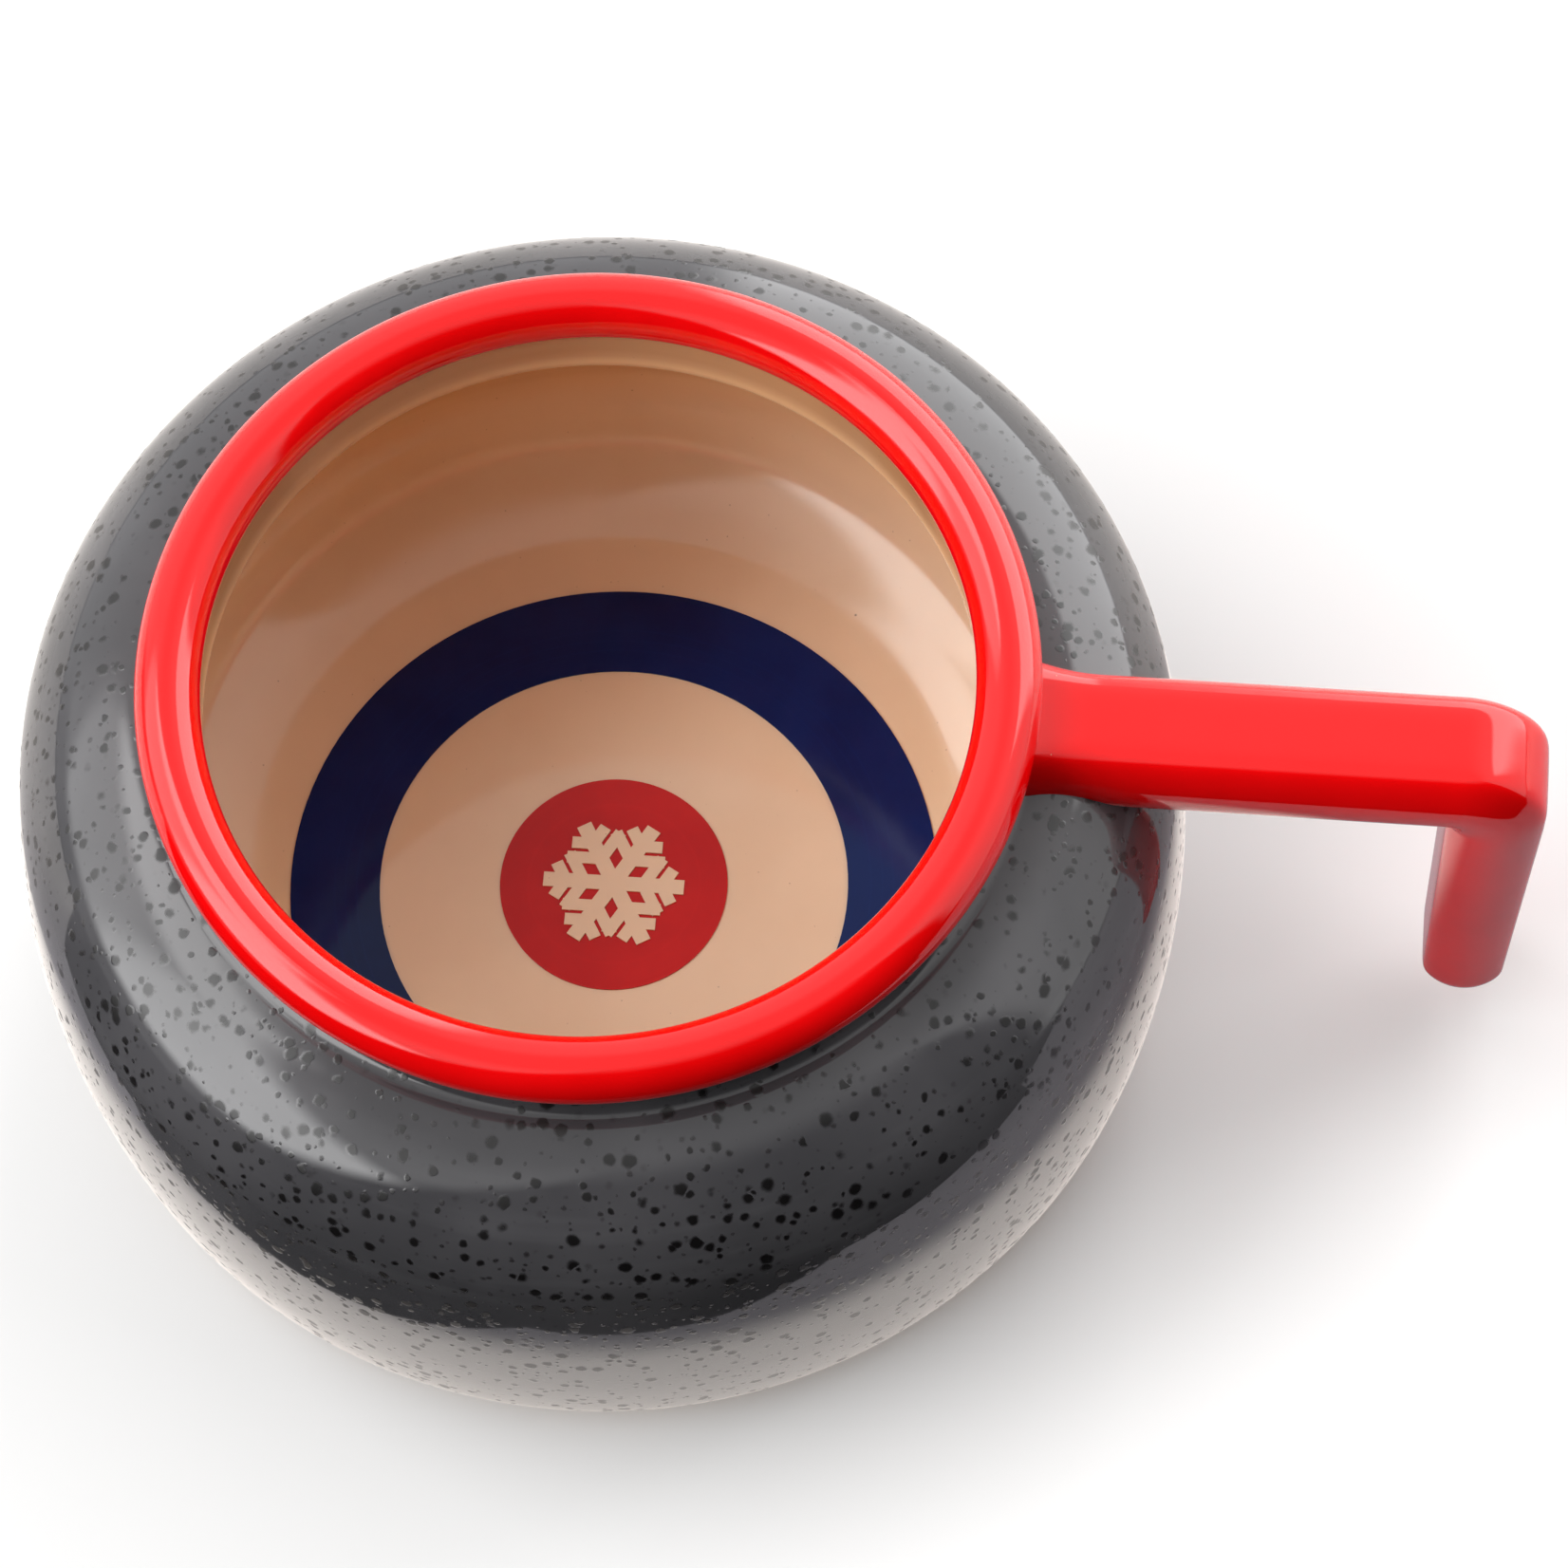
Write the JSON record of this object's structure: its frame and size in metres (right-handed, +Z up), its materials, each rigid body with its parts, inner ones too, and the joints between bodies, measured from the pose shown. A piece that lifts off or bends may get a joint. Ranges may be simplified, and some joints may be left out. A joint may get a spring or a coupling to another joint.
{
  "type": "curling stone mug",
  "caption": "Glazed stoneware mug shaped like a curling stone, with a rolled rim, an L-shaped handle with a free end, and a target printed on its inside floor.",
  "frame": {"origin": "centre of the flat foot, on the pot's axis, in the plane of the surface the mug stands on", "axes": "+Z up along the pot's axis, +X from the pot's axis towards the handle"},
  "size_m": [0.1616, 0.1248, 0.0658],
  "materials": {
    "stoneware": "unglazed fired buff stoneware, matt",
    "grey_glaze": "glossy grey glaze with dark iron speckles",
    "cream_glaze": "glossy warm cream glaze with fine iron flecks",
    "red_glaze": "glossy opaque red glaze",
    "blue_transfer": "glossy fired blue transfer",
    "red_transfer": "glossy fired red transfer",
    "cream_transfer": "glossy cream left bare inside the red transfer"
  },
  "bodies": {
    "root": {"stoneware_body": "stoneware", "rim_bead": "stoneware", "handle_bar": "stoneware", "handle_luting": "stoneware", "outer_glaze": "grey_glaze", "liner_glaze": "cream_glaze", "rim_glaze": "red_glaze", "handle_glaze": "red_glaze", "ring_transfer": "blue_transfer", "button_transfer": "red_transfer", "crystal_transfer": "cream_transfer"}
  },
  "joints": []
}
